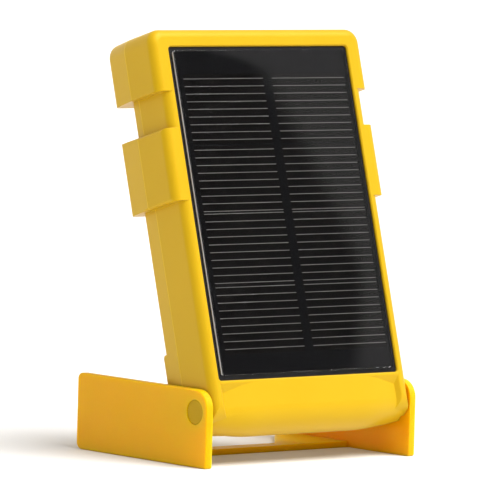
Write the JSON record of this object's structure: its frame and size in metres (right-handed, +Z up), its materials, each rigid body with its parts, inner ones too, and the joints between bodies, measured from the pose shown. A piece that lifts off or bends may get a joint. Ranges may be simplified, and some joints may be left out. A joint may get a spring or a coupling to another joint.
{
  "type": "solar phone charger",
  "caption": "Pocket solar charger: flat yellow body with a front solar panel, leaning on a fold-out U-shaped stand, with USB sockets behind a rubber side flap.",
  "frame": {"origin": "centre of the footprint, on the surface that the stand rests on", "axes": "+Z up, +X to the user's right when facing the panel, +Y rearward; the panel faces -Y and leans back"},
  "size_m": [0.079, 0.0606, 0.1235],
  "materials": {
    "yellow_housing": "satin moulded plastic",
    "yellow_stand": "satin, slightly translucent moulded plastic",
    "yellow_pin": "matt moulded plastic",
    "clear_cover": "polished clear",
    "solar_cell": "dark satin",
    "tinned_copper": "flat ribbon",
    "black_laminate": "matt",
    "black_rubber": "matt",
    "wire_insulation": "soft",
    "green_board": "solder mask",
    "component_black": "matt",
    "component_white": "matt",
    "steel": "satin",
    "clear_pipe": "clear",
    "dark_button": "fine texture",
    "battery_foil": "foil",
    "grey_foam": "foam"
  },
  "bodies": {
    "housing": {"front_frame": "yellow_housing", "rear_shell": "yellow_housing", "housing_seal": "black_rubber", "panel_cover": "clear_cover", "solar_cells": "solar_cell", "cell_ribbons": "tinned_copper", "panel_board": "black_laminate", "panel_tape": "black_rubber", "panel_sealant": "black_rubber", "panel_leads": "wire_insulation", "main_board": "green_board", "board_components": "component_black", "board_screws": "steel", "usb_a_socket": "steel", "usb_a_tongue": "component_white", "micro_usb_socket": "steel", "micro_usb_tongue": "component_black", "power_switch": "component_black", "status_leds": "component_white", "light_pipes": "clear_pipe", "battery_cell": "battery_foil", "battery_pad": "grey_foam", "battery_board": "green_board", "battery_leads": "wire_insulation", "housing_screws": "steel"},
    "stand": {"stand": "yellow_stand", "hinge_pin_right": "yellow_pin", "hinge_pin_left": "yellow_pin", "hinge_washers": "steel", "hinge_clips": "steel"},
    "power_button": {"power_button": "dark_button"},
    "port_door": {"port_door": "black_rubber"}
  },
  "joints": [
    {"name": "stand_hinge", "type": "hinge", "parent": "housing", "child": "stand", "pos_m": [0, -0.02417, 0.0159], "axis": [1, 0, 0], "range_deg": [-106.2, 73.8]},
    {"name": "button_press", "type": "slide", "parent": "housing", "child": "power_button", "axis": [0, -0.9603, 0.279], "range_m": [0, 0.0006], "stiffness_N_per_m": 1500, "springref_m": -0.0004},
    {"name": "port_door_hinge", "type": "hinge", "parent": "housing", "child": "port_door", "pos_m": [0.0387, -0.00141, 0.07561], "axis": [0, 0.9603, -0.279], "range_deg": [0, 90]}
  ]
}
